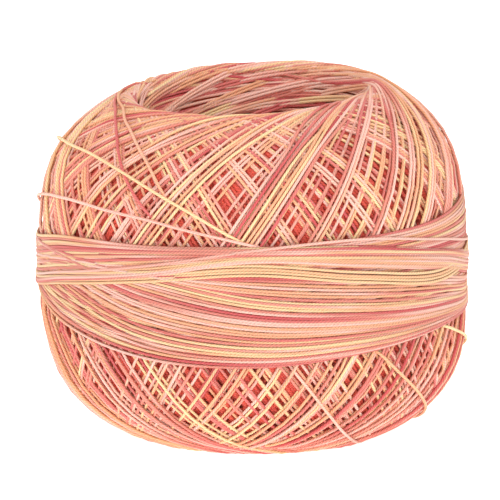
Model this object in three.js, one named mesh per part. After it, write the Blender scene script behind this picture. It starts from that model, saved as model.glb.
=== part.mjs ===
// A ball of cotton crochet thread, wound round an empty hole. Millimetres, +Z up, with the origin
// under the middle of the ball, on the surface that it stands on.
//
// The ball is one closed, ring-shaped solid: a barrel outside, a rim at each end and a flared hole
// right through. Its main twists cross as a raised diamond net. A belt of flatter turns, wide at the
// front and narrow at the back, lies over the net and stands out from it unevenly. The fine turns
// of the thread are too small for the solid.

import * as THREE from "three";

// Driving sizes.
const BALL_DIAMETER = 60; // across the belt
const BELT_LIFT = 0.75; // how far the belt stands out from the barrel
const HALF_HEIGHT = 23.9; // from half height to a rim's crest
const RIM_RADIUS = 16.5; // of the circle along a rim's crest
const HOLE_RADIUS = 13.2; // where the hole is narrowest, at half height
const RIM_ROLL = 1.5; // the crest is rolled over, or flattened, this far to each side
const CREST_DROP = 0.12; // the top rim's crest is this much lower than a sharp one
const BODY_RADIUS = BALL_DIAMETER / 2 - BELT_LIFT;

// How full the two sides of the ring are: the first power bends the rim, the second one the waist.
const BARREL_POWERS = { rim: 1.25, waist: 3.4 };
const HOLE_POWERS = { rim: 1.3, waist: 2.2 };

// The net of main twists. Each twist runs from rim to rim, and as many cross it the other way.
const TWISTS_EACH_WAY = 40;
const PIT_DEPTH = 0.8; // between the twists
const CROSSING_LIFT = 0.2; // where one twist lies over another
const RIM_TWIST_ROWS = 9; // rows of the net that take it from flat at the rim to its full depth

// The belt's edges are tilted rings: height at half way, tilt, and the azimuth where the tilt is
// highest. Azimuth is counted from the front, -Y, towards +X.
const BELT_TOP = { height: 6.4, tilt: 2.4, towards: 50 };
const BELT_BOTTOM = { height: -4.6, tilt: 3.9, towards: 178 };
const BELT_EDGE = 1.1; // the belt thins out over this height at each edge
const BELT_BANDS = 5; // thicker bands of turns within the belt
const BAND_DEPTH = 0.3;

// The grid: a lattice of half-step rows, so that its slanting edges run along the twists.
const COLUMNS = 2 * TWISTS_EACH_WAY;
const COLUMN_STEP = (2 * Math.PI) / COLUMNS;
const HOLE_ROWS = 9; // inside the hole, between the rims
const HALF_STEPS_EACH_TWIST = (2 * COLUMNS) / TWISTS_EACH_WAY;
const CURVE_STEPS = 600; // fine steps that a side is measured with
const ROUNDING = 1e-9; // the last step of a measure may fall short by this much

const radians = THREE.MathUtils.degToRad;

// Points from the top rim's crest to half height, on the barrel or on the hole's wall.
function sideCurve(waistRadius, powers) {
  const points = [];
  for (let k = 0; k <= CURVE_STEPS; k++) {
    const turn = (Math.PI / 2) * (1 - k / CURVE_STEPS);
    const out = Math.cos(turn) ** (2 / powers.rim);
    const up = Math.sin(turn) ** (2 / powers.waist);
    points.push(
      new THREE.Vector2(
        RIM_RADIUS + (waistRadius - RIM_RADIUS) * out,
        HALF_HEIGHT * up,
      ),
    );
  }
  return points;
}

// The part of a side that starts where the roll of the rim ends.
function pastTheRoll(curve) {
  return curve.filter((p) => Math.abs(p.x - RIM_RADIUS) >= RIM_ROLL);
}

// How far round the ball a thread has turned at each point, when it leaves the rim along its crest
// and then runs straight over the barrel.
function turnsAlong(curve) {
  const turned = [0];
  for (let k = 1; k < curve.length; k++) {
    const radius = (curve[k].x + curve[k - 1].x) / 2;
    const step = curve[k].distanceTo(curve[k - 1]);
    const across = Math.sqrt(radius ** 2 - RIM_RADIUS ** 2);
    turned.push(turned[k - 1] + (step * RIM_RADIUS) / (radius * across));
  }
  return turned;
}

function lengthsAlong(curve) {
  const lengths = [0];
  for (let k = 1; k < curve.length; k++) {
    lengths.push(lengths[k - 1] + curve[k].distanceTo(curve[k - 1]));
  }
  return lengths;
}

// Points at equal steps of a measure along a curve, with both ends.
function spread(curve, measure, steps) {
  const last = measure[measure.length - 1];
  const points = [];
  for (let step = 0; step <= steps; step++) {
    const wanted = (last * step) / steps;
    const k = Math.max(1, measure.findIndex((m) => m >= wanted - ROUNDING));
    const share = (wanted - measure[k - 1]) / (measure[k] - measure[k - 1]);
    points.push(curve[k - 1].clone().lerp(curve[k], share));
  }
  return points;
}

// One side from the top rim to the bottom rim, without the crests.
function wholeSide(half) {
  const lower = half.slice(0, -1).reverse();
  return [...half, ...lower.map((p) => new THREE.Vector2(p.x, -p.y))];
}

// The rows of the closed outline: down the barrel, under the lower rim, up the hole, over the top.
// The lower rim has no crest, so a flat ring is left there to stand on.
function outlineRows() {
  const barrel = pastTheRoll(sideCurve(BODY_RADIUS, BARREL_POWERS));
  const turned = turnsAlong(barrel);
  const steps = Math.round(turned[turned.length - 1] / (COLUMN_STEP / 2));
  const outside = wholeSide(spread(barrel, turned, steps));
  const wall = pastTheRoll(sideCurve(HOLE_RADIUS, HOLE_POWERS));
  const inside = wholeSide(
    spread(wall, lengthsAlong(wall), (HOLE_ROWS - 1) / 2),
  );
  inside.reverse();
  const floor = outside[outside.length - 1].y;
  inside[0].y = floor;
  const topRoll = [
    new THREE.Vector2(RIM_RADIUS - RIM_ROLL / 2, HALF_HEIGHT - CREST_DROP),
    new THREE.Vector2(RIM_RADIUS + RIM_ROLL / 2, HALF_HEIGHT - CREST_DROP),
  ];
  const rows = [...outside, ...inside, ...topRoll];
  return { rows, netRows: outside.length };
}

function edgeHeight(edge, azimuth) {
  return edge.height + edge.tilt * Math.cos(azimuth - radians(edge.towards));
}

// The belt at one place: how much of it lies there, from 0 to 1, and its height above the barrel.
function beltAt(azimuth, z) {
  const top = edgeHeight(BELT_TOP, azimuth);
  const bottom = edgeHeight(BELT_BOTTOM, azimuth);
  const share =
    THREE.MathUtils.smoothstep(z, bottom, bottom + BELT_EDGE) *
    (1 - THREE.MathUtils.smoothstep(z, top - BELT_EDGE, top));
  const across = (z - bottom) / (top - bottom);
  const dip = (1 - Math.cos(2 * Math.PI * BELT_BANDS * across)) / 2;
  return { share, lift: BELT_LIFT - BAND_DEPTH * (1 - dip) };
}

// Whether a twist runs along the grid's slanting line through a point. Every other line has one.
function onTwist(slantedStep) {
  return (
    THREE.MathUtils.euclideanModulo(slantedStep, HALF_STEPS_EACH_TWIST) === 0
  );
}

// The height of the net at one point of the grid.
function netLift(halfStep, row, netRows) {
  const onRising = onTwist(halfStep + row);
  const onFalling = onTwist(halfStep - row);
  const fromRim = Math.min(row, netRows - 1 - row) / RIM_TWIST_ROWS;
  const depth = THREE.MathUtils.clamp(fromRim, 0, 1);
  if (onRising && onFalling) return CROSSING_LIFT * depth;
  return onRising || onFalling ? 0 : -PIT_DEPTH * depth;
}

// How far one point of the grid stands out from the smooth outline.
function liftAt(azimuth, z, halfStep, row, netRows) {
  if (row >= netRows) return 0;
  const belt = beltAt(azimuth, z);
  const net = netLift(halfStep, row, netRows);
  return THREE.MathUtils.lerp(net, belt.lift, belt.share);
}

// The outline's outward direction at a row, square to the line between its neighbours.
function outwardAt(rows, row) {
  const before = rows[(row + rows.length - 1) % rows.length];
  const after = rows[(row + 1) % rows.length];
  const along = after.clone().sub(before).normalize();
  return new THREE.Vector2(-along.y, along.x);
}

function ballGeometry() {
  const { rows, netRows } = outlineRows();
  const positions = [];
  rows.forEach((point, row) => {
    const outward = outwardAt(rows, row);
    for (let column = 0; column < COLUMNS; column++) {
      const halfStep = 2 * column + (row % 2);
      const azimuth = (halfStep * COLUMN_STEP) / 2;
      const lift = liftAt(azimuth, point.y, halfStep, row, netRows);
      const radius = point.x + outward.x * lift;
      positions.push(
        radius * Math.sin(azimuth),
        -radius * Math.cos(azimuth),
        point.y + outward.y * lift,
      );
    }
  });
  const geometry = new THREE.BufferGeometry();
  geometry.setAttribute(
    "position",
    new THREE.Float32BufferAttribute(positions, 3),
  );
  geometry.setIndex(latticeFaces(rows.length));
  geometry.computeVertexNormals();
  return geometry;
}

// Two triangles for each point of the grid. Odd rows are half a column further round.
function latticeFaces(rowCount) {
  const at = (row, column) =>
    (row % rowCount) * COLUMNS + ((column + COLUMNS) % COLUMNS);
  const faces = [];
  for (let row = 0; row < rowCount; row++) {
    const odd = row % 2;
    for (let column = 0; column < COLUMNS; column++) {
      const here = at(row, column);
      const next = at(row, column + 1);
      const below = at(row + 1, column + odd);
      const belowNext = at(row + 1, column + 1);
      faces.push(here, below, next);
      if (odd) faces.push(here, at(row + 1, column), below);
      else faces.push(next, below, belowNext);
    }
  }
  return faces;
}

const cotton = new THREE.MeshStandardMaterial({
  name: "cotton thread",
  color: 0xf0a086,
  roughness: 0.7,
  metalness: 0,
});

const threadBall = new THREE.Mesh(ballGeometry(), cotton);
threadBall.name = "thread_ball";
threadBall.geometry.computeBoundingBox();
const { min, max } = threadBall.geometry.boundingBox;
threadBall.position.set(-(min.x + max.x) / 2, -(min.y + max.y) / 2, -min.z);

const ball = new THREE.Group();
ball.add(threadBall);

export default ball;
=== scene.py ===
"""Dresses a ball of cotton crochet thread, turn by turn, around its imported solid.

The ball is wound from one thread, dyed in soft stretches of coral, salmon, peach, pale yellow and
light pink. Most turns run from rim to rim, and the two slants cross as a net. A belt of flatter
turns lies over the net, round the middle. Near-level turns line the hole, and a few stray spans
cross over the rest. Sizes are in metres. Azimuth is counted from the front, -Y, towards +X.
"""

import logging
import math
from dataclasses import dataclass, field
from enum import Enum

import bpy
import numpy as np
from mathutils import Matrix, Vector


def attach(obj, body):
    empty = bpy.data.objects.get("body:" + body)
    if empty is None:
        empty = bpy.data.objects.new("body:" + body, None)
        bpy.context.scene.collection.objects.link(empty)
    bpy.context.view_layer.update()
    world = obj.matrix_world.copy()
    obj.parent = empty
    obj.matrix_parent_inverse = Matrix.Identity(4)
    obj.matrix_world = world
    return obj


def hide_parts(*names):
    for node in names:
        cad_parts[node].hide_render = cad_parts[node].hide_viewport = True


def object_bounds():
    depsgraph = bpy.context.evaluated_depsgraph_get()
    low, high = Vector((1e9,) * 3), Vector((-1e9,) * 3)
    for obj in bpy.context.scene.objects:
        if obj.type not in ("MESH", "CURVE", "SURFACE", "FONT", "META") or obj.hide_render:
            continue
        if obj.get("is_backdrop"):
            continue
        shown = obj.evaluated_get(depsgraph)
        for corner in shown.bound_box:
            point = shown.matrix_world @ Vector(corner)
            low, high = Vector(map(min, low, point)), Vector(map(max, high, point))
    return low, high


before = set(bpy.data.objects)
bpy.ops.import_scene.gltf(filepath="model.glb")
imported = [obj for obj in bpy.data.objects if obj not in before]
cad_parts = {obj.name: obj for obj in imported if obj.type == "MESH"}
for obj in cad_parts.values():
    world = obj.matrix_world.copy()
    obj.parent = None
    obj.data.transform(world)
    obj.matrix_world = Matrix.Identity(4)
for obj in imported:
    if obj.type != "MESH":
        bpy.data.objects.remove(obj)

Array = np.ndarray
Material = bpy.types.Material
Node = bpy.types.Node
NodeTree = bpy.types.NodeTree

MM = 0.001
TURN = 2.0 * math.pi
BODY = "root"
SOLID = "thread_ball"
THREAD = 0.43 * MM  # the thread's thickness
RUN_MAP = "ThreadRun"  # metres along the thread, and the share of the way round it
BAKE_MAP = "OFBake"  # one strip of the picture for each length of thread
DYE = "dye"  # where the thread lies in its range of dyes, from 0 to 1
WHITE = (1.0, 1.0, 1.0, 1.0)
SEED = 20

log = logging.getLogger("thread_ball")


class Slant(Enum):
    """Which way a turn climbs as it is seen from outside the ball."""

    RISING_RIGHT = -1
    RISING_LEFT = 1


class Dye(Enum):
    """The places of the thread's dyes in the range from 0 to 1."""

    PAINTED_DEPTH_RED = 0.0  # painted light, not a dye: the red that light takes deep between the turns
    DEEP_CORAL = 0.2
    CORAL = 0.34
    SALMON = 0.48
    LIGHT_PINK = 0.62
    PEACH = 0.76
    PALE_YELLOW = 0.97


def smooth_step(value: Array, low: float, high: float) -> Array:
    """Rises smoothly from 0 at low to 1 at high.

    Args:
        value: The values to judge.
        low: The value where the rise starts.
        high: The value where the rise ends.

    Returns:
        The shares, from 0 to 1, in the shape of value.
    """
    share = np.clip((value - low) / (high - low), 0.0, 1.0)
    return share * share * (3.0 - 2.0 * share)


def bell(value: Array, width: float) -> Array:
    """Gives 1 where value is 0, and falls off to both sides over the width."""
    return np.exp(-((value / width) ** 2))


def run_along(points: Array) -> Array:
    """Gives the way along each row of points, from its first one."""
    steps = np.linalg.norm(np.diff(points, axis=1), axis=2)
    return np.concatenate([np.zeros((len(points), 1)), np.cumsum(steps, axis=1)], axis=1)


def running_sum(values: Array) -> Array:
    """Adds up the means of neighbouring values, from 0."""
    return np.concatenate([[0.0], np.cumsum((values[1:] + values[:-1]) / 2.0)])


def round_off(values: Array, places: Array, whole: float, width: float) -> Array:
    """Blends evenly spaced values on a closed line with their neighbours.

    Args:
        values: The values.
        places: Their places along the line.
        whole: The line's whole length.
        width: How far the blend reaches.

    Returns:
        The blended values.
    """
    away = np.minimum(places, whole - places)
    weights = np.exp(-0.5 * (away / width) ** 2)
    return np.real(np.fft.ifft(np.fft.fft(values) * np.fft.fft(weights / weights.sum())))


def linear_colour(srgb: str) -> tuple[float, float, float, float]:
    """Turns an sRGB hex colour into linear red, green and blue, with an alpha of 1.

    Args:
        srgb: Six hex digits after a hash.

    Returns:
        The colour that a shader takes.
    """
    parts = [int(srgb[k : k + 2], 16) / 255.0 for k in (1, 3, 5)]
    linear = [p / 12.92 if p <= 0.04045 else ((p + 0.055) / 1.055) ** 2.4 for p in parts]
    return (linear[0], linear[1], linear[2], 1.0)


def connect(node: Node, inputs: dict) -> None:
    """Gives inputs of a node their values or links.

    Args:
        node: The node.
        inputs: Input names or numbers, each with a plain value, a socket, or a node. A node stands
            for its first output.
    """
    for name, value in inputs.items():
        source = value.outputs[0] if isinstance(value, Node) else value
        if isinstance(source, bpy.types.NodeSocket):
            node.id_data.links.new(source, node.inputs[name])
        else:
            node.inputs[name].default_value = source


def add_node(tree: NodeTree, kind: str, inputs: dict | None = None, **settings: object) -> Node:
    """Adds one node to a tree, with its settings and the links into it.

    Args:
        tree: The tree that gets the node.
        kind: The node's Blender type name, after ShaderNode.
        inputs: What its inputs get, as connect takes it.
        settings: The node's own properties.

    Returns:
        The new node.
    """
    node = tree.nodes.new("ShaderNode" + kind)
    for name, value in settings.items():
        setattr(node, name, value)
    connect(node, inputs or {})
    return node


def start_material(name: str, inputs: dict) -> tuple[Material, Node]:
    """Starts a material with values that are the same all over the surface.

    Args:
        name: The material's name.
        inputs: The values for the shader's own sockets.

    Returns:
        The material and its shader.
    """
    material = bpy.data.materials.new(name)
    material.use_nodes = True
    shader = material.node_tree.nodes["Principled BSDF"]
    connect(shader, inputs)
    return material, shader


@dataclass(frozen=True)
class DyedCotton:
    """Mercerised cotton thread: three plies twisted together, glossy enough to catch a soft light.

    Mercerising swells the fibres, which gives the thread a silky sheen and clear, full dyes.
    """

    name: str = "mercerised_dyed_cotton"
    dyes: tuple[tuple[Dye, str], ...] = (
        # painted light, not a dye: the red that deep turns take
        (Dye.PAINTED_DEPTH_RED, "#E6604A"),
        (Dye.DEEP_CORAL, "#CE585B"),
        (Dye.CORAL, "#D97570"),
        (Dye.SALMON, "#E2917F"),
        (Dye.LIGHT_PINK, "#F9C5B5"),
        (Dye.PEACH, "#EFAE87"),
        (Dye.PALE_YELLOW, "#F8D5A4"),
    )
    plies: int = 3
    lay: float = 1.65 * MM  # along the thread, for one full twist of a ply
    ply_depth: float = 0.05 * MM
    fleck: float = 0.35 * MM  # size of the fine unevenness of the dye
    strength: tuple[float, float] = (0.97, 1.15)  # of the dyes' light, over that unevenness
    painted_groove_shade: float = 0.74  # how light a groove between two plies is, against the plies
    painted_side_shade: str = "#F2EBE2"  # painted shade on the sides of a turn, where it is pressed against the next one
    open_sides: tuple[float, float] = (-0.1, 0.8)  # from all painted shade to none, as cosines from outward
    roughness: tuple[float, float] = (0.64, 0.52)  # in the grooves and on the plies
    shine: float = 0.22
    sheen: float = 0.12
    sheen_roughness: float = 0.4
    sheen_tint: str = "#FFA07A"
    glow: float = 0.25  # light that soaks through the fibres
    glow_colour: tuple[float, float, float] = (1.0, 0.45, 0.35)
    glow_reach: float = 0.22 * MM

    def make(self) -> Material:
        """Builds the thread's material.

        Returns:
            The material. It reads the piece's dye attribute and its map along the thread.
        """
        material, shader = start_material(
            self.name,
            {
                "Subsurface Weight": self.glow,
                "Subsurface Radius": self.glow_colour,
                "Subsurface Scale": self.glow_reach,
                "Sheen Weight": self.sheen,
                "Sheen Roughness": self.sheen_roughness,
                "Sheen Tint": linear_colour(self.sheen_tint),
                "Specular IOR Level": self.shine,
            },
        )
        tree = material.node_tree
        run = add_node(tree, "UVMap", uv_map=RUN_MAP)
        parts = add_node(tree, "SeparateXYZ", {"Vector": run})
        around = add_node(tree, "Math", {0: parts.outputs["Y"], 1: TURN}, operation="MULTIPLY")
        plies = self._plies(tree, parts.outputs["X"], around)
        deep, high = self.roughness
        rough = add_node(tree, "MapRange", {"Value": plies, "To Min": deep, "To Max": high})
        bump = add_node(tree, "Bump", {"Height": plies, "Strength": 1.0, "Distance": self.ply_depth})
        colour = self._colour(tree, plies, around)
        connect(shader, {"Base Color": colour, "Normal": bump, "Roughness": rough})
        return material

    def _plies(self, tree: NodeTree, run: bpy.types.NodeSocket, around: Node) -> Node:
        """Draws the plies as slanting ridges round the thread.

        Args:
            tree: The material's node tree.
            run: The way along the thread.
            around: The angle round the thread.

        Returns:
            The ridge height, from 0 in the grooves to 1 on the plies.
        """
        along = add_node(tree, "Math", {0: run, 1: TURN * self.plies / self.lay}, operation="MULTIPLY")
        phase = add_node(
            tree, "Math", {0: around, 1: float(self.plies), 2: along}, operation="MULTIPLY_ADD"
        )
        wave = add_node(tree, "Math", {0: phase}, operation="SINE")
        return add_node(tree, "MapRange", {"Value": wave, "From Min": -1.0})

    def _colour(self, tree: NodeTree, plies: Node, around: Node) -> Node:
        """Turns the dye attribute into colour, uneven from fibre to fibre, with painted shade between
        plies.

        Args:
            tree: The material's node tree.
            plies: The ridge height, from 0 in the grooves to 1 on the plies.
            around: The angle round the thread, 0 where it faces outward.

        Returns:
            The colour, with painted shade at the sides of each turn.
        """
        dye = add_node(tree, "Attribute", attribute_name=DYE)
        ramp = add_node(tree, "ValToRGB", {"Fac": dye.outputs["Fac"]})
        stops = ramp.color_ramp.elements
        while len(stops) < len(self.dyes):
            stops.new(1.0)
        for stop, (place, colour) in zip(stops, self.dyes, strict=True):
            stop.position = place.value
            stop.color = linear_colour(colour)
        place = add_node(tree, "TexCoord").outputs["Object"]
        noise = add_node(tree, "TexNoise", {"Vector": place, "Scale": 1.0 / self.fleck})
        weak, strong = self.strength
        shade = add_node(tree, "MapRange", {"Value": noise, "To Min": weak, "To Max": strong})
        # Painted shade: the colour is darker in the grooves between plies.
        ridges = add_node(tree, "MapRange", {"Value": plies, "To Min": self.painted_groove_shade})
        light = add_node(tree, "Math", {0: shade, 1: ridges}, operation="MULTIPLY")
        mixed = add_node(tree, "VectorMath", {0: ramp, "Scale": light}, operation="SCALE")
        # Painted shade: the sides of each turn are darkened, where its neighbours would shadow it.
        outward = add_node(tree, "Math", {0: around}, operation="COSINE")
        low, high = self.open_sides
        exposed = add_node(
            tree,
            "MapRange",
            {"Value": outward, "From Min": low, "From Max": high},
            interpolation_type="SMOOTHSTEP",
        )
        painted_side_shade = linear_colour(self.painted_side_shade)[:3]
        added = tuple(1.0 - part for part in painted_side_shade)
        painted_side_tint = add_node(tree, "VectorMath", {0: exposed, 1: added, 2: painted_side_shade}, operation="MULTIPLY_ADD")
        return add_node(tree, "VectorMath", {0: mixed, 1: painted_side_tint}, operation="MULTIPLY")


@dataclass(frozen=True)
class PackedCotton:
    """The same thread deep inside the ball, wound tight and pressed flat.

    Its red is painted light: the light that comes back red from there, from dye to dye.
    """

    name: str = "packed_cotton"
    painted_red_mottle: tuple[tuple[float, str], ...] = ((0.35, "#CC4A35"), (0.65, "#E66A50"))  # painted red of the light deep inside, from dark to light
    grain: float = 0.9 * MM  # about two threads
    detail: float = 3.0
    depth: float = 0.2 * MM
    strength: float = 0.6
    roughness: float = 0.9
    shine: float = 0.1

    def make(self) -> Material:
        """Builds the material of the ball's heart.

        Returns:
            The material, mottled at the size of the threads.
        """
        material, shader = start_material(
            self.name, {"Roughness": self.roughness, "Specular IOR Level": self.shine}
        )
        tree = material.node_tree
        place = add_node(tree, "TexCoord").outputs["Object"]
        noise = add_node(
            tree, "TexNoise", {"Vector": place, "Scale": 1.0 / self.grain, "Detail": self.detail}
        )
        ramp = add_node(tree, "ValToRGB", {"Fac": noise})
        for stop, (position, colour) in zip(ramp.color_ramp.elements, self.painted_red_mottle, strict=True):
            stop.position = position
            stop.color = linear_colour(colour)
        bump = add_node(tree, "Bump", {"Height": noise, "Strength": self.strength, "Distance": self.depth})
        connect(shader, {"Base Color": ramp, "Normal": bump})
        return material


@dataclass(frozen=True)
class OpalAcrylic:
    """Matt opal acrylic sheet, cast and lit from below, as on a light table. It keeps shadows faint."""

    name: str = "lit_opal_acrylic"
    colour: str = "#F6F5F4"
    grain: float = 4.0 * MM
    roughness: tuple[float, float] = (0.85, 0.95)
    shine: float = 0.1
    glow: float = 0.8

    def make(self) -> Material:
        """Builds the floor's material.

        Returns:
            The material, with a grain that is too faint to show as a pattern.
        """
        material, shader = start_material(
            self.name,
            {
                "Base Color": linear_colour(self.colour),
                "Specular IOR Level": self.shine,
                "Emission Color": WHITE,
                "Emission Strength": self.glow,
            },
        )
        tree = material.node_tree
        place = add_node(tree, "TexCoord").outputs["Object"]
        noise = add_node(tree, "TexNoise", {"Vector": place, "Scale": 1.0 / self.grain})
        low, high = self.roughness
        rough = add_node(tree, "MapRange", {"Value": noise, "To Min": low, "To Max": high})
        connect(shader, {"Roughness": rough})
        return material


@dataclass
class BallShape:
    """The ball's smooth form: a barrel outside, a rolled rim at each end and a flared hole.

    Its outline is one closed line, from the top rim over the barrel and up the hole. A run is a place
    along it.
    """

    middle: float  # height of the ball's middle above the floor
    half_height: float = 23.9 * MM
    rim_radius: float = 16.5 * MM
    body_radius: float = 29.25 * MM
    hole_radius: float = 13.2 * MM
    barrel_powers: tuple[float, float] = (1.25, 3.4)  # at the rim, and at half height
    hole_powers: tuple[float, float] = (1.3, 2.2)
    side_points: int = 400
    step: float = 0.05 * MM
    rim_blur: float = 0.9 * MM  # how far the rims' crests are rounded
    lean: float = 1.0 * MM  # how much the top rim is higher at the right, and lower at the left
    leaning: tuple[float, float] = (0.2, 1.0)  # shares of the half height between which the lean grows
    push: float = 0.55 * MM  # how far the lower half is pushed to the right
    pushed: tuple[float, float] = (3.0 * MM, 13.0 * MM)  # depths between which the push grows
    belt_top: tuple[float, float, float] = (6.4, 2.4, 50.0)  # edge in mm: level, tilt, azimuth of its top
    belt_bottom: tuple[float, float, float] = (-4.6, 3.9, 178.0)
    belt_press: float = 0.5 * MM
    press_edge: tuple[float, float] = (0.2 * MM, 1.6 * MM)  # how far inside the belt its press grows
    fullness: float = 0.35 * MM  # how much fuller the shoulders are than the solid's
    shoulder: tuple[float, float] = (16.0 * MM, 5.0 * MM)  # their height and their width
    tuck: float = 0.45 * MM  # how much rounder the ball is round its lower rim
    tucked: tuple[float, float] = (23.6 * MM, 1.8 * MM)  # depth and width of that
    rim_fade: float = 3.0 * MM  # how far out from the rims both reach their whole size
    run: Array = field(init=False)
    radius: Array = field(init=False)
    height: Array = field(init=False)
    outward: Array = field(init=False)
    lower_rim: float = field(init=False)
    whole: float = field(init=False)

    def __post_init__(self) -> None:
        """Works out the closed outline and the directions square to it."""
        barrel = self._side(self.body_radius, self.barrel_powers)
        wall = self._side(self.hole_radius, self.hole_powers)
        down = (1.0, -1.0)
        closed = np.vstack([barrel, barrel[-2::-1] * down, (wall * down)[1:], wall[-2:0:-1], barrel[:1]])
        lengths = run_along(closed[None])[0]
        self.whole = float(lengths[-1])
        self.lower_rim = float(lengths[2 * len(barrel) - 2])
        self.run = np.linspace(0.0, self.whole, int(self.whole / self.step), endpoint=False)
        self.radius, self.height = (
            round_off(np.interp(self.run, lengths, column), self.run, self.whole, self.rim_blur)
            for column in closed.T
        )
        slopes = [np.roll(part, -1) - np.roll(part, 1) for part in (self.radius, self.height)]
        along = np.stack(slopes, axis=1)
        along /= np.linalg.norm(along, axis=1, keepdims=True)
        self.outward = np.stack([-along[:, 1], along[:, 0]], axis=1)

    def _side(self, waist: float, powers: tuple[float, float]) -> Array:
        """Draws one side of the ring, as in the solid.

        Args:
            waist: The radius at half height.
            powers: How full the side is at the rim and at half height.

        Returns:
            Radius and height, from a rim's crest to half height.
        """
        turn = np.linspace(math.pi / 2.0, 0.0, self.side_points)
        out = np.clip(np.cos(turn), 0.0, 1.0) ** (2.0 / powers[0])
        up = np.sin(turn) ** (2.0 / powers[1])
        return np.stack([self.rim_radius + (waist - self.rim_radius) * out, self.half_height * up], axis=1)

    def _at(self, table: Array, run: Array) -> Array:
        """Reads one of the outline's tables at places along it."""
        return np.interp(run, self.run, table, period=self.whole)

    def radius_at(self, run: Array) -> Array:
        """Gives the radius at places along the outline."""
        return self._at(self.radius, run)

    def height_at(self, run: Array) -> Array:
        """Gives the height above the ball's middle at places along the outline."""
        return self._at(self.height, run)

    def outward_at(self, run: Array) -> tuple[Array, Array]:
        """Gives how far outward the surface faces, and how far up."""
        return self._at(self.outward[:, 0], run), self._at(self.outward[:, 1], run)

    def run_at_height(self, height: Array) -> Array:
        """Gives the place along the barrel for heights above the ball's middle."""
        barrel = self.run < self.lower_rim
        return np.interp(-height, -self.height[barrel], self.run[barrel])

    def run_down_hole(self, height: Array) -> Array:
        """Gives the place along the hole's wall for heights above the ball's middle."""
        wall = self.run > self.lower_rim
        return np.interp(height, self.height[wall], self.run[wall])

    def rim_distance(self, run: Array) -> Array:
        """Gives the way along the outline to the nearer rim."""
        place = np.mod(run, self.whole)
        return np.minimum(np.minimum(place, self.whole - place), np.abs(place - self.lower_rim))

    def sunken(self, run: Array, depth: Array) -> tuple[Array, Array]:
        """Gives radius and height over the middle at depths under the smooth surface."""
        out, up = self.outward_at(run)
        return self.radius_at(run) - out * depth, self.height_at(run) - up * depth

    def pressed_in(self, run: Array, azimuth: Array) -> Array:
        """Finds how far the tight belt presses the net in.

        Args:
            run: Places along the outline.
            azimuth: Angles round the ball, in radians.

        Returns:
            The depths, which are 0 outside the belt.
        """
        height = self.height_at(run)
        top, bottom = (
            (level + tilt * np.cos(azimuth - math.radians(towards))) * MM
            for level, tilt, towards in (self.belt_top, self.belt_bottom)
        )
        return self.belt_press * smooth_step(np.minimum(top - height, height - bottom), *self.press_edge)

    def place(self, run: Array, azimuth: Array, lift: Array) -> tuple[Array, Array]:
        """Finds points on or over the surface.

        Args:
            run: Places along the outline.
            azimuth: Angles round the ball, in radians.
            lift: Heights over the smooth surface.

        Returns:
            The points, and the surface's outward directions there.
        """
        azimuth = np.broadcast_to(azimuth, run.shape)
        out, up = self.outward_at(run)
        lift = lift + self._swelling(run)
        radius = self.radius_at(run) + out * lift
        height = self.height_at(run) + up * lift
        points = np.stack([radius * np.sin(azimuth), -radius * np.cos(azimuth), height], axis=-1)
        facing = np.stack([out * np.sin(azimuth), -out * np.cos(azimuth), up], axis=-1)
        return self.settle(points), facing

    def settle(self, points: Array) -> Array:
        """Leans the top rim, pushes the lower half aside and keeps all of it over the floor.

        Args:
            points: Points of an upright ball, with their heights over its middle.

        Returns:
            The points in the frame.
        """
        x, y, height = np.moveaxis(points, -1, 0)
        aside = x / np.maximum(np.hypot(x, y), MM)
        upper = smooth_step(height / self.half_height, *self.leaning)
        level = self.middle + height + self.lean * upper * aside
        shifted = x + self.push * smooth_step(-height, *self.pushed)
        return np.stack([shifted, y, np.maximum(level, THREAD / 2.0)], axis=-1)

    def _swelling(self, run: Array) -> Array:
        """Finds how far the soft ball stands out from the solid's outline.

        Args:
            run: Places along the outline.

        Returns:
            The heights over the outline, below 0 where the ball is rounder.
        """
        height = self.height_at(run)
        outside = smooth_step(self.radius_at(run), self.rim_radius, self.rim_radius + self.rim_fade)
        shoulders = bell(np.abs(height) - self.shoulder[0], self.shoulder[1])
        lower = bell(height + self.tucked[0], self.tucked[1])
        return outside * (self.fullness * shoulders - self.tuck * lower)


@dataclass
class Lengths:
    """Lengths of thread that have the same number of points, side by side in arrays."""

    points: Array
    facing: Array
    dye: Array
    closed: bool = False


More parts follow.
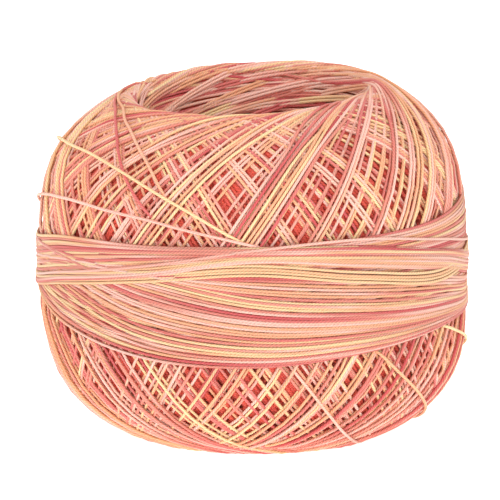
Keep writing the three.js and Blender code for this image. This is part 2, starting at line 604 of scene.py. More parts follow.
@dataclass
class DyeBath:
    """Dyes the thread in soft stretches that repeat along its whole length."""

    rng: np.random.Generator
    step: float = 0.5 * MM
    blend: float = 7.0 * MM
    stretches: tuple[tuple[Dye, float], ...] = (  # with their lengths in mm
        (Dye.CORAL, 30.0),
        (Dye.LIGHT_PINK, 44.0),
        (Dye.PEACH, 34.0),
        (Dye.PALE_YELLOW, 40.0),
        (Dye.SALMON, 34.0),
        (Dye.DEEP_CORAL, 26.0),
        (Dye.LIGHT_PINK, 28.0),
        (Dye.PEACH, 46.0),
        (Dye.CORAL, 24.0),
        (Dye.SALMON, 36.0),
        (Dye.PALE_YELLOW, 26.0),
        (Dye.LIGHT_PINK, 30.0),
    )
    closing: float = 0.92  # the share of a closed turn after which its dye goes back to the start's
    spent: float = 0.0
    repeat: float = field(init=False)
    table: Array = field(init=False)

    def __post_init__(self) -> None:
        """Lays out one repeat of the dyes, blended where they meet."""
        lengths = [length * MM for _, length in self.stretches]
        self.repeat = sum(lengths)
        places = np.arange(0.0, self.repeat, self.step)
        dyes = np.array([dye.value for dye, _ in self.stretches])
        sharp = dyes[np.searchsorted(np.cumsum(lengths), places, side="right").clip(max=len(dyes) - 1)]
        self.table = round_off(sharp, places, self.repeat, self.blend)

    def along(self, points: Array, slip: float, painted_redness: float = 0.0, together: int = 1) -> Array:
        """Dyes lengths of thread, one after another as they come off the thread.

        Args:
            points: Points along each length, as lengths by points by 3.
            slip: How far the repeat strays from one length to the next.
            painted_redness: Painted light: how far deep turns are drawn to the red end, where light comes
                back red.
            together: How many neighbours take up the same place in the repeat.

        Returns:
            The dye at each point.
        """
        run = run_along(points)
        used = np.cumsum(run[:, -1] + self.rng.normal(0.0, slip, len(run)))
        starts = self.spent + np.concatenate([[0.0], used[:-1]])
        starts = starts[np.arange(len(run)) // together * together]
        self.spent += used[-1]
        places = np.arange(len(self.table)) * self.step
        dye = np.interp(run + starts[:, None], places, self.table, period=self.repeat)
        return dye * (1.0 - painted_redness)

    def around(self, points: Array, slip: float, painted_redness: float = 0.0) -> Array:
        """Dyes closed turns of thread, with no jump where a turn closes.

        Args:
            points: Points round each turn, as turns by points by 3.
            slip: How far the repeat strays from one turn to the next.
            painted_redness: Painted light: how far the turns are drawn to the red end.

        Returns:
            The dye at each point.
        """
        dye = self.along(points, slip, painted_redness)
        close = smooth_step(np.arange(points.shape[1]) / points.shape[1], self.closing, 1.0)
        return dye * (1.0 - close) + dye[:, :1] * close


@dataclass
class ThreadMesh:
    """Turns lengths of thread into one joined mesh of thin round tubes."""

    name: str
    finish: Material
    sides: int = 6
    diameter: float = THREAD
    margin: float = 0.01  # of the bake map, at the ends of each strip
    gap: float = 0.1  # between two strips of it, as a share of a strip
    vertices: list[Array] = field(default_factory=list)
    corners: list[Array] = field(default_factory=list)
    run_map: list[Array] = field(default_factory=list)
    strips: list[Array] = field(default_factory=list)
    dyes: list[Array] = field(default_factory=list)
    sizes: list[Array] = field(default_factory=list)
    strip_count: int = 0

    def add(self, lengths: Lengths) -> None:
        """Adds lengths of thread.

        Args:
            lengths: The lengths, with their dye.
        """
        count, steps, _ = lengths.points.shape
        first = sum(len(part) for part in self.vertices)
        number = first + np.arange(count * steps * self.sides).reshape(count, steps, self.sides)
        self.vertices.append(self._rings(lengths).reshape(-1, 3))
        self.dyes.append(np.repeat(lengths.dye.reshape(-1), self.sides))
        track = lengths.points
        if lengths.closed:
            number, track = (np.concatenate([row, row[:, :1]], axis=1) for row in (number, track))
        run = run_along(track)
        here, there = number[:, :-1], number[:, 1:]
        quads = np.stack([here, np.roll(here, -1, axis=2), np.roll(there, -1, axis=2), there], axis=-1)
        side = np.arange(self.sides)
        share = np.stack([side, side + 1, side + 1, side], axis=-1) / self.sides
        ends = np.stack([run[:, :-1], run[:, :-1], run[:, 1:], run[:, 1:]], axis=-1)
        self._add_faces(quads, ends[:, :, None, :], share, run[:, -1].reshape(-1, 1, 1, 1))
        if not lengths.closed:
            whole = run[:, -1:]
            self._add_faces(number[:, 0, ::-1], run[:, :1], side[::-1] / self.sides, whole)
            self._add_faces(number[:, -1], whole, side / self.sides, whole)
        self.strip_count += count

    def _rings(self, lengths: Lengths) -> Array:
        """Places a ring of points round each point of each length.

        Args:
            lengths: The lengths of thread.

        Returns:
            The points, as lengths by rings by sides by 3.
        """
        points = lengths.points
        if lengths.closed:
            along = np.roll(points, -1, axis=1) - np.roll(points, 1, axis=1)
        else:
            along = np.gradient(points, axis=1)
        along /= np.linalg.norm(along, axis=2, keepdims=True)
        across = np.cross(along, lengths.facing)
        across /= np.linalg.norm(across, axis=2, keepdims=True)
        out = np.cross(across, along)
        angles = (TURN * np.arange(self.sides) / self.sides)[None, None, :, None]
        ring = out[:, :, None, :] * np.cos(angles) + across[:, :, None, :] * np.sin(angles)
        rings = points[:, :, None, :] + ring * self.diameter / 2.0
        rings[..., 2] = np.maximum(rings[..., 2], 0.0)  # pressed flat where the ball stands on it
        return rings

    def _add_faces(self, corners: Array, along: Array, share: Array, whole: Array) -> None:
        """Adds faces, with their places on both maps.

        Args:
            corners: Vertex numbers. The first axis counts the lengths, and the last goes round a face.
            along: The way along the thread at each corner.
            share: The share of the way round the thread at each corner.
            whole: Each length's whole way.
        """
        shape = corners.shape
        along, share, whole = (np.broadcast_to(part, shape) for part in (along, share, whole))
        row = (self.strip_count + np.arange(shape[0])).reshape(-1, *(1 for _ in shape[1:]))
        across = self.margin + (1.0 - 2.0 * self.margin) * along / whole
        up = row + self.gap + (1.0 - 2.0 * self.gap) * share
        self.corners.append(corners.reshape(-1))
        self.sizes.append(np.full(corners.size // shape[-1], shape[-1]))
        self.run_map.append(np.stack([along, share], axis=-1).reshape(-1, 2))
        self.strips.append(np.stack([across, up], axis=-1).reshape(-1, 2))

    def make(self) -> bpy.types.Object:
        """Builds the joined mesh and sets it in the frame.

        Returns:
            The new piece.
        """
        vertices = np.concatenate(self.vertices)
        corners = np.concatenate(self.corners)
        sizes = np.concatenate(self.sizes)
        mesh = bpy.data.meshes.new(self.name)
        mesh.vertices.add(len(vertices))
        mesh.vertices.foreach_set("co", vertices.reshape(-1).astype(np.float32))
        mesh.loops.add(len(corners))
        mesh.polygons.add(len(sizes))
        mesh.polygons.foreach_set("loop_start", (np.cumsum(sizes) - sizes).astype(np.int32))
        mesh.polygons.foreach_set("vertices", corners.astype(np.int32))
        mesh.update(calc_edges=True)
        mesh.polygons.foreach_set("use_smooth", np.ones(len(sizes), dtype=bool))
        strips = np.concatenate(self.strips)
        strips[:, 1] /= self.strip_count
        for map_name, places in ((RUN_MAP, np.concatenate(self.run_map)), (BAKE_MAP, strips)):
            layer = mesh.uv_layers.new(name=map_name)
            layer.data.foreach_set("uv", places.reshape(-1).astype(np.float32))
        dye = mesh.attributes.new(DYE, "FLOAT", "POINT")
        dye.data.foreach_set("value", np.concatenate(self.dyes).astype(np.float32))
        mesh.materials.append(self.finish)
        piece = bpy.data.objects.new(self.name, mesh)
        bpy.context.scene.collection.objects.link(piece)
        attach(piece, BODY)
        log.info("%s: %d lengths, %d faces", self.name, self.strip_count, len(sizes))
        return piece


@dataclass
class RimToRim:
    """The way of a turn that leaves the hole, runs straight over the barrel and goes back in.

    A taut thread on a turned form keeps radius times the cosine of its slope the same all the way,
    so it lies level where the radius is least, inside the hole.
    """

    shape: BallShape
    least_radius: float
    least_across: float = 0.3 * MM  # keeps the way round finite where the turn lies level
    rim_share: float = 2.0  # how much denser its points are at the rims
    rim_reach: float = 5.0 * MM  # how far from a rim they are denser
    run: Array = field(init=False)
    turned: Array = field(init=False)
    length: Array = field(init=False)

    def __post_init__(self) -> None:
        """Works out the angle round the ball at each place along the outline."""
        shape = self.shape
        half_hole = (shape.whole - shape.lower_rim) / 2.0
        reach = np.arange(-half_hole, shape.lower_rim + half_hole, shape.step)
        tight = shape.radius_at(reach) < self.least_radius
        middle = shape.lower_rim / 2.0
        start = reach[(reach < middle) & tight].max()
        end = reach[(reach > middle) & tight].min()
        self.run = np.arange(start + shape.step, end, shape.step)
        radius = shape.radius_at(self.run)
        across = np.sqrt(np.maximum(radius**2 - self.least_radius**2, self.least_across**2))
        rate = self.least_radius / (radius * across)
        turned = running_sum(rate) * shape.step
        self.turned = turned - np.interp(0.0, self.run, turned)
        self.length = running_sum(np.hypot(1.0, radius * rate)) * shape.step

    def spread(self, count: int) -> Array:
        """Picks places along the turn, closer together where it bends over a rim.

        Args:
            count: How many places.

        Returns:
            Places along the outline.
        """
        dense = 1.0 + self.rim_share * bell(self.shape.rim_distance(self.run), self.rim_reach)
        steps = np.diff(self.length) * (dense[1:] + dense[:-1]) / 2.0
        measure = np.concatenate([[0.0], np.cumsum(steps)])
        return np.interp(np.linspace(0.0, measure[-1], count), measure, self.run)


@dataclass
class NetPass:
    """One pass of turns round the ball: both slants, as they cross from rim to rim."""

    name: str
    shape: BallShape
    bath: DyeBath
    rng: np.random.Generator
    turns: int
    depth: float  # of the middle of the pass, under the smooth surface
    newest: float  # azimuth in degrees where the newest turn leaves the top rim
    groups: tuple[int, int] = (1, 1)  # fewest and most turns side by side on the upper half
    grouping: float = 0.0
    grouped: tuple[float, float, float, float] = (0.02, 0.16, 0.42, 0.62)  # where a group closes, and opens
    unevenness: float = 0.08
    points: int = 44
    sides: int = 5
    lanes: tuple[float, ...] = (15.5, 15.8, 16.0, 16.2, 16.3)  # least radius of each lane, in mm
    wobble: float = 0.1 * MM
    beats: tuple[float, float] = (0.6, 1.6)  # waves of a turn's wander, from rim to rim
    rim_pile: float = 0.5 * MM
    rim_rise: float = 0.75  # how much of its depth a pass loses over the rims
    rim_reach: float = 5.5 * MM  # how far from a rim that shows
    rim_flattening: float = 0.4  # how much less crossing turns part there
    beside: float = 1.13 * THREAD  # from one turn of a group to the next
    slanted: float = 0.74  # turns on a slant take up more of the way round, by one over this
    # painted light: how far the turns' dyes are drawn to the red end
    painted_redness: float = 0.0
    slip: float = 40.0 * MM
    over_under: float = 0.48  # how far crossing turns part, to each side, as a share of the thread
    parting: float = 0.09  # the angle over which they do
    thickness: float = 1.0  # soft turns deep in the ball are pressed wider than the thread
    sink: float = 0.9 * MM  # of both ends into the hole's wall, where other turns cover them
    sunk_share: float = 0.05

    def make(self, finish: Material) -> bpy.types.Object:
        """Winds the pass.

        Args:
            finish: The thread's material.

        Returns:
            The piece that holds its turns.
        """
        mesh = ThreadMesh(self.name, finish, self.sides, self.thickness * THREAD)
        routes = [RimToRim(self.shape, lane * MM) for lane in self.lanes]
        for slant in Slant:
            upper, lower, lanes = self._starts()
            for number, route in enumerate(routes):
                chosen = lanes == number
                if chosen.any():
                    mesh.add(self._wind(slant, route, upper[chosen], lower[chosen]))
        return mesh.make()

    def _starts(self) -> tuple[Array, Array, Array]:
        """Spaces the turns of one slant round the ball.

        Returns:
            Their azimuths on the upper half and on the lower half, and their lanes.
        """
        jitter = self.rng.uniform(-self.unevenness, self.unevenness, self.turns)
        even = TURN / self.turns * (np.arange(self.turns) + jitter)
        upper = even.copy()
        lanes = np.empty(self.turns, dtype=int)
        beside = self.beside / (self.shape.body_radius * self.slanted)
        first = 0
        while first < self.turns:
            size = int(self.rng.integers(self.groups[0], self.groups[1] + 1))
            members = np.arange(first, min(first + size, self.turns))
            packed = even[members].mean() + beside * (members - members.mean())
            upper[members] = even[members] * (1.0 - self.grouping) + packed * self.grouping
            lanes[members] = self.rng.integers(0, len(self.lanes))
            first += size
        start = math.radians(self.newest)
        return upper + start, even + start, lanes

    def _wind(self, slant: Slant, route: RimToRim, upper: Array, lower: Array) -> Lengths:
        """Winds the turns of one lane.

        Args:
            slant: Which way they climb.
            route: Their way from rim to rim.
            upper: Their azimuths on the upper half.
            lower: Their azimuths on the lower half.

        Returns:
            The lengths of thread.
        """
        count = len(upper)
        run = np.broadcast_to(route.spread(self.points), (count, self.points))
        turned = np.interp(run, route.run, route.turned)
        share = run / self.shape.lower_rim
        close, closed, open_up, opened = self.grouped
        grouped = smooth_step(share, close, closed) * (1.0 - smooth_step(share, open_up, opened))
        origin = upper[:, None] * grouped + lower[:, None] * (1.0 - grouped)
        age = np.mod(origin - math.radians(self.newest), TURN)
        over = age - 2.0 * turned if slant is Slant.RISING_RIGHT else 2.0 * turned - (TURN - age)
        lift = self.over_under * THREAD * np.tanh(over / self.parting)
        near_rim = bell(self.shape.rim_distance(run), self.rim_reach)
        lift = lift * (1.0 - self.rim_flattening * near_rim)
        lift += near_rim * self.rng.uniform(-0.5, 0.5, (count, 1)) * self.rim_pile
        lift -= self.depth * (1.0 - self.rim_rise * near_rim)
        azimuth = origin + slant.value * turned + self._wander(share) / self.shape.radius_at(run)
        place = np.linspace(0.0, 1.0, self.points)
        end = np.maximum(1.0 - place / self.sunk_share, 1.0 - (1.0 - place) / self.sunk_share)
        lift = lift - self.sink * smooth_step(end, 0.0, 1.0) - self.shape.pressed_in(run, azimuth)
        points, facing = self.shape.place(run, azimuth, lift)
        return Lengths(points, facing, self.bath.along(points, self.slip, self.painted_redness))

    def _wander(self, share: Array) -> Array:
        """Gives each turn a slow sideways wander.

        Args:
            share: The share of the way from rim to rim, as turns by points.

        Returns:
            How far each point is moved aside.
        """
        each = (len(share), 1)
        phase = self.rng.uniform(0.0, TURN, each)
        size = self.rng.normal(0.0, self.wobble, each)
        return size * np.sin(phase + TURN * self.rng.uniform(*self.beats, each) * share)


@dataclass(frozen=True)
class Guide:
    """The path of one belt turn, which its neighbours follow."""

    share: float  # its place in its group, from 0 for the first turn to 1 for the last
    heights: tuple[float, ...]  # over the ball's middle in mm, every 30 degrees from the back


@dataclass(frozen=True)
class Wrap:
    """One group of belt turns, laid side by side between its guides."""

    turns: int
    guides: tuple[Guide, ...]
    lift: float = 0.12 * MM  # over the smooth surface
    bridge: float = 0.0  # how much more it is at the front, where the turns converge
    dye: Dye | None = None  # for a group that lies within one stretch of dye
    slip: float = 7.0 * MM  # how far the repeat of the dyes strays from turn to turn


BASE = Wrap(
    42,
    (
        Guide(0.0, (-0.6, -0.2, -1.0, -3.0, -5.6, -7.5, -7.7, -6.6, -5.5, -5.2, -3.8, -2.0)),
        Guide(1.0, (4.2, 3.2, 2.8, 3.5, 6.2, 7.2, 7.8, 8.0, 8.3, 7.2, 6.0, 5.2)),
    ),
    lift=-0.14 * MM,
)
FAN = Wrap(
    32,
    (
        Guide(0.0, (-1.0, -0.6, -1.4, -3.4, -6.5, -8.5, -8.6, -7.5, -6.3, -5.9, -4.6, -2.6)),
        Guide(0.18, (0.6, 1.4, 2.2, 2.4, -0.9, -5.0, -6.4, -6.1, -5.7, -5.5, -3.6, -1.2)),
        Guide(0.48, (1.6, 2.4, 3.2, 3.4, 3.4, -0.15, -2.5, -3.3, -4.2, -5.0, -2.8, -0.2)),
        Guide(0.77, (2.4, 3.2, 3.4, 3.4, 4.2, 3.7, 1.2, -0.5, -2.2, -4.0, -2.0, 0.6)),
        Guide(1.0, (3.0, 3.6, 3.2, 1.0, 0.8, 3.4, 4.25, 3.2, 0.95, -2.0, -0.6, 1.4)),
    ),
)
WEDGE = Wrap(
    12,
    (
        Guide(0.0, (2.4, 1.6, 0.4, 0.0, 2.0, 3.0, 4.6, 4.9, 4.6, 3.0, 2.6, 2.6)),
        Guide(1.0, (5.6, 3.4, 2.6, 2.6, 5.0, 6.6, 7.6, 8.5, 8.85, 9.9, 9.4, 7.6)),
    ),
)
UPPER_GROUP = Wrap(
    17,
    (
        Guide(0.0, (4.0, 3.6, 3.3, 3.8, 6.6, 7.55, 8.15, 7.5, 4.6, 1.5, 1.6, 3.0)),
        Guide(0.4, (2.6, 1.8, 0.9, 0.7, 4.1, 6.5, 7.3, 6.7, 4.2, 0.4, 0.4, 1.4)),
        Guide(0.75, (1.4, -0.2, -1.8, -2.5, 0.8, 3.8, 6.5, 5.5, 3.0, -0.6, -0.8, 0.4)),
        Guide(1.0, (0.4, -1.0, -2.6, -3.2, 0.3, 3.2, 6.1, 4.6, 1.9, -1.7, -1.8, -0.6)),
    ),
    lift=0.32 * MM,
    slip=45.0 * MM,
)
RISING_TURNS = Wrap(
    4,
    (
        Guide(0.0, (2.4, 1.2, -0.4, -1.4, 1.6, 4.2, 6.0, 4.2, 2.0, 2.9, 2.6, 2.4)),
        Guide(1.0, (0.8, -0.4, -2.0, -3.2, -0.3, 2.4, 4.2, 2.4, 0.2, 1.1, 0.8, 0.8)),
    ),
    lift=0.42 * MM,
    dye=Dye.PALE_YELLOW,
)
TOP_TURN = Wrap(
    1,
    (Guide(0.0, (1.8, 0.4, -1.0, -1.8, 1.5, 4.8, 7.77, 8.35, 6.0, 3.0, 2.4, 2.4)),),
    lift=0.5 * MM,
    bridge=0.2 * MM,
    dye=Dye.LIGHT_PINK,
)


@dataclass
class Belt:
    """The flatter turns round the ball's middle. Where they crowd, the later ones lie higher."""

    shape: BallShape
    bath: DyeBath
    rng: np.random.Generator
    wraps: tuple[Wrap, ...] = (BASE, FAN, WEDGE, UPPER_GROUP, RISING_TURNS, TOP_TURN)
    points: int = 96
    sides: int = 7
    press: float = 0.8  # crowded turns flatten each other to this share of their thickness
    most_rise: float = 0.35 * MM
    most_packed: float = 0.2  # turns count as this share of a thickness apart, or more
    even_out: int = 4  # points to each side over which the crowding is averaged
    layer_step: float = 0.382  # of the way through the layers, from one turn to the next
    rise_jitter: float = 0.03 * MM
    share_jitter: float = 0.1  # of the way from one turn to the next
    wander: float = 0.045 * MM
    beats: tuple[int, ...] = (2, 3, 5, 8)  # waves of that wander round the ball
    side_press: float = 0.3  # how much flatter the belt lies at its left and right ends
    bridge_reach: float = 0.5  # in radians from the front
    own_dye: float = 0.75  # how far a group with a dye of its own is drawn to it

    def make(self, finish: Material) -> bpy.types.Object:
        """Winds the belt.

        Args:
            finish: The thread's material.

        Returns:
            The piece that holds its turns.
        """
        mesh = ThreadMesh("belt_turns", finish, self.sides)
        azimuth = TURN * (np.arange(self.points) / self.points - 0.5)
        for wrap in self.wraps:
            heights = self._heights(wrap)
            lifts = wrap.lift + wrap.bridge * bell(azimuth, self.bridge_reach)
            lifts = lifts + self._layers(heights) + self.rng.normal(0.0, self.rise_jitter, (wrap.turns, 1))
            lifts = lifts * (1.0 - self.side_press * np.sin(azimuth) ** 2)
            points, facing = self.shape.place(self.shape.run_at_height(heights), azimuth, lifts)
            dye = self.bath.around(points, wrap.slip)
            if wrap.dye is not None:
                dye = (1.0 - self.own_dye) * dye + self.own_dye * wrap.dye.value
            mesh.add(Lengths(points, facing, dye, closed=True))
        return mesh.make()

    def _heights(self, wrap: Wrap) -> Array:
        """Spreads a group's turns between its guides.

        Args:
            wrap: The group.

        Returns:
            Heights over the ball's middle, as turns by points.
        """
        each = (wrap.turns, 1)
        share = (np.arange(wrap.turns) + 0.5) / wrap.turns
        jitter = self.rng.normal(0.0, self.share_jitter / wrap.turns, wrap.turns)
        share = np.clip(share + jitter, 0.0, 1.0)
        guides = np.array([guide.heights for guide in wrap.guides]) * MM
        places = [guide.share for guide in wrap.guides]
        columns = np.stack([np.interp(share, places, column) for column in guides.T], axis=1)
        heights = self._round_the_ball(columns)
        azimuth = TURN * np.arange(self.points) / self.points
        for beats in self.beats:
            size = self.rng.normal(0.0, self.wander / beats**0.5, each)
            heights = heights + size * np.sin(beats * azimuth + self.rng.uniform(0.0, TURN, each))
        return heights

    def _round_the_ball(self, columns: Array) -> Array:
        """Runs a smooth closed curve through evenly spaced values.

        Args:
            columns: The values, as turns by places.

        Returns:
            The curve, as turns by points.
        """
        count = columns.shape[1]
        place = count * np.arange(self.points) / self.points
        first = place.astype(int)
        share = place - first
        before, here, after, last = (columns[:, (first + k) % count] for k in (-1, 0, 1, 2))
        bend = 2.0 * before - 5.0 * here + 4.0 * after - last
        twist = 3.0 * (here - after) + last - before
        return here + 0.5 * share * (after - before + share * (bend + share * twist))

    def _layers(self, heights: Array) -> Array:
        """Finds how high each turn is pushed where a group is closer than the thread is thick.

        Neighbours take different layers, so that each one still shows as a line of its own.

        Args:
            heights: The turns' heights, as turns by points.

        Returns:
            The extra lift at each point of each turn, which is 0 for a turn that lies alone.
        """
        if len(heights) == 1:
            return np.zeros_like(heights)
        apart = np.abs(np.gradient(heights, axis=0))
        near = range(-self.even_out, self.even_out + 1)
        apart = np.mean([np.roll(apart, k, axis=1) for k in near], axis=0)
        packed = THREAD / np.maximum(apart, self.most_packed * THREAD) - 1.0
        rise = self.most_rise * np.tanh(self.press * THREAD * packed.clip(0.0) / self.most_rise)
        layer = np.mod(self.layer_step * np.arange(len(heights)), 1.0)
        return layer[:, None] * rise


@dataclass
class HoleWall:
    """The near-level turns that line the hole, where the net's turns bend back."""

    shape: BallShape
    bath: DyeBath
    rng: np.random.Generator
    groups: int = 560
    group: int = 2
    points: int = 12
    sides: int = 5
    slope: tuple[float, float] = (7.0, 22.0)  # degrees from level
    sweep: tuple[float, float] = (55.0, 95.0)  # degrees round the hole
    stride: float = 137.5  # degrees round the hole from one group to the next one below it
    stray: float = 12.0  # degrees that a group strays from its place
    below_rim: float = 0.6 * MM  # how far from the rims they stay
    lifts: tuple[float, float] = (-0.2, 0.25)  # over the wall, in mm
    sink: float = 1.05 * MM  # of the groups' ends
    sinking: tuple[float, float] = (0.15, 0.5)  # shares of a group's length between which they sink
    rings: int = 126  # of the lining behind the groups
    ring_points: int = 44
    ring_edge: float = 0.8 * MM  # how far from the rims they stay
    ring_tilt: float = 2.4 * MM  # half way down the hole
    edge_tilt: float = 0.2 * MM  # at the rims
    ring_turn: float = 0.6  # how far, in radians, the tilt's side strays
    ring_lift: float = -0.32 * MM
    ring_jitter: float = 0.15  # of that lift, in mm
    # painted light: how far the lining's dyes are drawn to the red end
    ring_painted_redness: float = 0.15
    slip: float = 60.0 * MM

    def make(self, finish: Material) -> bpy.types.Object:
        """Lines the hole.

        Args:
            finish: The thread's material.

        Returns:
            The piece that holds the lengths of thread.
        """
        beside = THREAD * (np.arange(self.group) - (self.group - 1) / 2.0)
        sweep = self._each(np.radians(self.rng.uniform(*self.sweep, self.groups)))
        slope = self._each(np.tan(np.radians(self.rng.uniform(*self.slope, self.groups))))
        order = self.rng.permutation(self.groups)
        stray = self.rng.normal(0.0, self.stray, self.groups)
        middle = self._each(np.radians(self.stride * order + stray))
        reach = self.shape.half_height - self.below_rim
        level = self._each(reach - 2.0 * reach * (order + 0.5) / self.groups)
        level = level + np.tile(beside, self.groups)[:, None]
        lift = self._each(self.rng.uniform(*self.lifts, self.groups)) * MM
        share = np.linspace(-0.5, 0.5, self.points)[None, :]
        height = np.clip(level - slope * sweep * share * self.shape.hole_radius, -reach, reach)
        lift = lift - self.sink * smooth_step(np.abs(share), *self.sinking)
        run = self.shape.run_down_hole(height)
        points, facing = self.shape.place(run, middle + sweep * share, lift)
        mesh = ThreadMesh("hole_turns", finish, self.sides)
        mesh.add(Lengths(points, facing, self.bath.along(points, self.slip, together=self.group)))
        mesh.add(self._lining())
        return mesh.make()

    def _lining(self) -> Lengths:
        """Winds the tilted rings that close the wall behind the other turns.

        Returns:
            The closed turns, a little deeper than the rest.
        """
        each = (self.rings, 1)
        first, last = self.shape.lower_rim + self.ring_edge, self.shape.whole - self.ring_edge
        azimuth = TURN * np.arange(self.ring_points) / self.ring_points
        run = np.linspace(first, last, self.rings)[:, None]
        share = np.linspace(-1.0, 1.0, self.rings)[:, None]
        tilt = self.ring_tilt * (1.0 - share**2) + self.edge_tilt
        run = run + tilt * np.sin(azimuth - self.rng.normal(0.0, self.ring_turn, each))
        jitter = self.rng.uniform(-self.ring_jitter, self.ring_jitter, each) * MM
        points, facing = self.shape.place(run, azimuth, np.full(run.shape, self.ring_lift) + jitter)
        return Lengths(points, facing, self.bath.around(points, self.slip, self.ring_painted_redness), closed=True)

    def _each(self, values: Array) -> Array:
        """Gives every length in a group its group's value."""
        return np.repeat(values, self.group)[:, None]


@dataclass(frozen=True)
class Span:
    """One stray span: its dye, its lift in mm, and its course by azimuth in degrees and height in mm."""

    dye: Dye
    lift: float
    course: tuple[tuple[float, float], ...]


SPANS = (
    Span(Dye.PALE_YELLOW, 0.48, (
        (-156, 1.6), (-150, 3.4), (-138, 7.2), (-124, 11.6), (-109, 14.9), (-95, 17), (-80, 17.8),
        (-60, 18.1), (-45.9, 17.25), (-32.8, 15.6), (-17.5, 12.7), (-0.5, 8.2), (4, 7.2),
    )),
    Span(Dye.LIGHT_PINK, 0.52, (
        (-122, 1.2), (-116, 2.8), (-107, 5.2), (-97, 7.6), (-86, 9.6), (-72, 11.2), (-55.9, 11.9),
        (-30.2, 11.25), (-8.2, 9.35), (3.5, 8), (8, 7.4),
    )),
    Span(Dye.PEACH, 0.4, (
        (-134, 23.75), (-120, 23.55), (-104, 23.2), (-90, 23.3), (-68, 23.15), (-47.8, 21.35),
        (-37.3, 19.2), (-30.7, 17.25), (-24.8, 14.2), (-22, 12.6),
    )),
    Span(Dye.CORAL, 0.38, (
        (-130, 23.7), (-116, 23.5), (-102, 23.2), (-89, 23.15), (-71, 22.75), (-56, 21.25),
        (-47.2, 19.1), (-41.2, 16.85), (-29.5, 11.95), (-25, 10),
    )),
    Span(Dye.PEACH, 0.42, (
        (33.6, -6.6), (39, -9.5), (45.9, -12.4), (56.9, -16), (66, -18.4), (77, -20.8), (90, -22.6),
        (104, -23.5),
    )),
    Span(Dye.LIGHT_PINK, 0.42, (
        (9.4, -8.4), (14.8, -12), (20.1, -15.1), (27.2, -18.5), (35, -20.8), (44, -22.5), (54, -23.4),
    )),
    Span(Dye.PALE_YELLOW, 0.42, (
        (60, -5.8), (73, -8.3), (82, -9.9), (92, -11.8), (104, -14.4), (118, -17.6), (132, -20.6),
        (146, -22.8), (158, -23.5),
    )),
)


@dataclass
class StraySpans:
    """Lengths of thread that run over the net on their own, held under other turns at both ends."""

    shape: BallShape
    points: int = 60
    sides: int = 8
    held: float = 0.07  # the share of a span that dips under other turns, at each end
    end_lift: float = 0.25  # before it dips, in mm
    end_depth: float = 1.2
    dye_sway: float = 0.05
    spans: tuple[Span, ...] = SPANS

    def make(self, finish: Material) -> bpy.types.Object:
        """Lays the spans.

        Args:
            finish: The thread's material.

        Returns:
            The piece that holds them.
        """
        mesh = ThreadMesh("stray_spans", finish, self.sides)
        for span in self.spans:
            azimuth, height = self._course(span)
            share = np.linspace(0.0, 1.0, self.points)[None, :]
            held = 1.0 - smooth_step(share, 0.0, self.held) + smooth_step(share, 1.0 - self.held, 1.0)
            lift = self.end_lift + (span.lift - self.end_lift) * 4.0 * share * (1.0 - share)
            lift = (lift - (lift + self.end_depth) * held) * MM
            points, facing = self.shape.place(self.shape.run_at_height(height), azimuth, lift)
            mesh.add(Lengths(points, facing, span.dye.value + self.dye_sway * np.sin(TURN * share)))
        return mesh.make()

    def _course(self, span: Span) -> tuple[Array, Array]:
        """Rounds the corners of a span's course by a running mean.

        Args:
            span: Where it runs.

        Returns:
            The azimuths in radians and the heights in metres.
        """
        corners = np.array(span.course)
        across = corners * (0.5, 1.0)  # a degree is about half a millimetre round the ball
        place = run_along(across[None])[0]
        fine = np.linspace(0.0, place[-1], 4 * self.points)
        course = np.stack([np.interp(fine, place, column) for column in corners.T])
        reach = 2 * self.points // len(corners)
        before = 2.0 * course[:, :1] - course[:, reach:0:-1]
        after = 2.0 * course[:, -1:] - course[:, -2 : -reach - 2 : -1]
        sums = np.cumsum(np.concatenate([np.zeros((2, 1)), before, course, after], axis=1), axis=1)
        width = 2 * reach + 1
        smooth = (sums[:, width:] - sums[:, :-width]) / width
        picks = np.linspace(0, smooth.shape[1] - 1, self.points).round().astype(int)
        return np.radians(smooth[0, picks])[None, :], smooth[1, picks][None, :] * MM


@dataclass
class Heart:
    """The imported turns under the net, as one closed form with the hole through it."""

    shape: BallShape
    depth: float = 2.0 * MM
    rim_depth: float = 1.5 * MM
    rim_reach: float = 6.0 * MM
    outline_points: int = 72
    around: int = 96
    weld: float = 0.02 * MM

    def make(self, finish: Material) -> bpy.types.Object:
        """Turns the ball's sunken outline round its axis.

        Args:
            finish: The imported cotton's material.

        Returns:
            The piece, which stands for the ball's solid.
        """
        shape = self.shape
        run = shape.whole * np.arange(self.outline_points) / self.outline_points
        near_rim = bell(shape.rim_distance(run), self.rim_reach)
        sink = self.depth * (1.0 - near_rim) + self.rim_depth * near_rim
        sink = np.where(run > shape.lower_rim, self.rim_depth, sink)
        radius, height = shape.sunken(run, sink)
        bpy.ops.object.select_all(action="DESELECT")
        bpy.ops.mesh.primitive_circle_add(vertices=self.outline_points, radius=shape.rim_radius)
        piece = bpy.context.object
        piece.name = "packed_heart"
        mesh = piece.data
        for vertex, out, up in zip(mesh.vertices, radius, height, strict=True):
            vertex.co = (out, 0.0, up)
        bpy.ops.object.mode_set(mode="EDIT")
        bpy.ops.mesh.select_all(action="SELECT")
        bpy.ops.mesh.spin(steps=self.around, angle=TURN, center=(0.0, 0.0, 0.0), axis=(0.0, 0.0, 1.0))
        bpy.ops.mesh.select_all(action="SELECT")
        bpy.ops.mesh.remove_doubles(threshold=self.weld)
        bpy.ops.mesh.normals_make_consistent(inside=False)
        bpy.ops.object.mode_set(mode="OBJECT")
        places = np.empty(3 * len(mesh.vertices), dtype=np.float32)
        mesh.vertices.foreach_get("co", places)
        settled = shape.settle(places.reshape(-1, 3)).reshape(-1)
        mesh.vertices.foreach_set("co", settled.astype(np.float32))
        mesh.update()
        mesh.polygons.foreach_set("use_smooth", np.ones(len(mesh.polygons), dtype=bool))
        mesh.materials.append(finish)
        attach(piece, BODY)
        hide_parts(SOLID)
        log.info("%s: %d faces", piece.name, len(mesh.polygons))
        return piece


@dataclass(frozen=True)
class SoftLight:
    """A light with a square face: its place, the side of its face, and its power in watts."""

    name: str
    place: tuple[float, float, float]
    size: float
    power: float


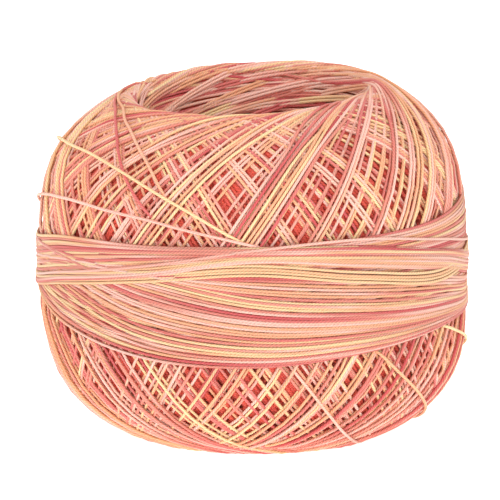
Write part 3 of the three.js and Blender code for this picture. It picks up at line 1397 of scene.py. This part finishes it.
@dataclass
class Studio:
    """A light table, a soft light tent and a long lens a little above the ball."""

    target: Vector
    elevation: float = 13.0
    distance: float = 1.6
    view_width: float = 68.8 * MM  # across the picture, at the ball
    offset: tuple[float, float] = (0.28 * MM, -1.1 * MM)  # of the ball in the picture, right and up
    sensor: float = 36.0
    nearest: float = 0.01  # that the camera sees
    table_size: float = 6.0
    tent_light: float = 0.98
    lights: tuple[SoftLight, ...] = (
        SoftLight("key", (0.05, -0.3, 0.9), 0.8, 1.8),
        SoftLight("front", (-0.08, -0.99, 0.27), 0.3, 2.7),
    )

    def make(self, sheet: Material) -> None:
        """Sets up the floor, the lights and the camera.

        Args:
            sheet: The floor's material.
        """
        bpy.ops.object.select_all(action="DESELECT")
        bpy.ops.mesh.primitive_plane_add(size=self.table_size, location=(0.0, 0.0, 0.0))
        floor = bpy.context.object
        floor.name = "floor"
        floor.data.materials.append(sheet)
        floor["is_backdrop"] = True
        for light in self.lights:
            data = bpy.data.lights.new(light.name, "AREA")
            data.size = light.size
            data.energy = light.power
            place = Vector(light.place)
            self._stand(light.name, data, place, self.target - place)
        world = bpy.data.worlds.new("light_tent")
        world.use_nodes = True
        connect(world.node_tree.nodes["Background"], {"Color": WHITE, "Strength": self.tent_light})
        bpy.context.scene.world = world
        bpy.context.scene.view_settings.view_transform = "Standard"
        self._camera()

    def _stand(self, name: str, data: bpy.types.ID, place: Vector, towards: Vector) -> bpy.types.Object:
        """Stands a lamp or the camera in its place, turned the right way.

        Args:
            name: Its name.
            data: What it is.
            place: Where it stands.
            towards: The way that it looks.

        Returns:
            The new object.
        """
        thing = bpy.data.objects.new(name, data)
        thing.location = place
        thing.rotation_mode = "QUATERNION"
        thing.rotation_quaternion = towards.to_track_quat("-Z", "Y")
        bpy.context.scene.collection.objects.link(thing)
        return thing

    def _camera(self) -> None:
        """Aims the camera at the ball from the front."""
        data = bpy.data.cameras.new("camera")
        data.sensor_width = self.sensor
        data.lens = self.sensor * self.distance / self.view_width
        data.clip_start = self.nearest
        tilt = math.radians(self.elevation)
        back = Vector((0.0, -math.cos(tilt), math.sin(tilt)))
        up = Vector((0.0, math.sin(tilt), math.cos(tilt)))
        right_shift, up_shift = self.offset
        aim = self.target - Vector((right_shift, 0.0, 0.0)) - up * up_shift
        bpy.context.scene.camera = self._stand("camera", data, aim + back * self.distance, -back)


def net_passes(shape: BallShape, bath: DyeBath, rng: np.random.Generator) -> tuple[NetPass, ...]:
    """Lists the net's passes, from the deepest to the last.

    Args:
        shape: The ball's smooth form.
        bath: What dyes the thread.
        rng: The source of the turns' unevenness.

    Returns:
        The passes.
    """
    deep = {"sides": 4, "over_under": 0.3, "rim_rise": 0.4, "rim_pile": 0.2 * MM}
    # The deep passes are drawn to the red end as painted light, for the light that comes back red from deep
    # in the ball.
    return (
        NetPass(
            "first_turns", shape, bath, rng, 190, 1.6 * MM, -60.0,
            points=30, painted_redness=0.96, thickness=1.6, **deep
        ),
        NetPass(
            "second_turns", shape, bath, rng, 250, 1.22 * MM, 20.0,
            points=32, painted_redness=0.92, thickness=1.5, unevenness=0.05, **deep
        ),
        NetPass(
            "third_turns", shape, bath, rng, 143, 0.62 * MM, -105.0,
            points=42, over_under=0.3, unevenness=0.04, lanes=(15.9, 16.05, 16.15)
        ),
        NetPass(
            "last_turns", shape, bath, rng, 86, 0.25 * MM, -107.0,
            points=60, sides=8, groups=(2, 4), grouping=0.95, unevenness=0.3
        ),
    )


def main() -> None:
    """Builds the ball, its light and its camera."""
    logging.basicConfig(level=logging.INFO, format="%(name)s: %(message)s")
    solid_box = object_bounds()
    crest_drop = 0.12 * MM  # the solid's top rim is this much lower than a sharp crest
    shape = BallShape(middle=solid_box[1].z - BallShape.half_height + crest_drop)
    thread = DyedCotton().make()
    # On the belt the turns lie so close that the lines between them are thinner than a render of this size
    # can shade.
    # So this copy of the thread has more painted shade on its sides there, and its dyes are painted a
    # little darker.
    belt_thread_painted_shade = DyedCotton(
        name="mercerised_dyed_cotton_belt_painted_shade", painted_side_shade="#C8A08A", strength=(0.82, 0.98)
    ).make()
    rng = np.random.default_rng(SEED)
    bath = DyeBath(rng)
    Studio(target=Vector((0.0, 0.0, shape.middle))).make(OpalAcrylic().make())
    Heart(shape).make(PackedCotton().make())
    for net_pass in net_passes(shape, bath, rng):
        net_pass.make(thread)
    HoleWall(shape, bath, rng).make(thread)
    Belt(shape, bath, rng).make(belt_thread_painted_shade)
    StraySpans(shape).make(thread)


if __name__ == "__main__":
    main()
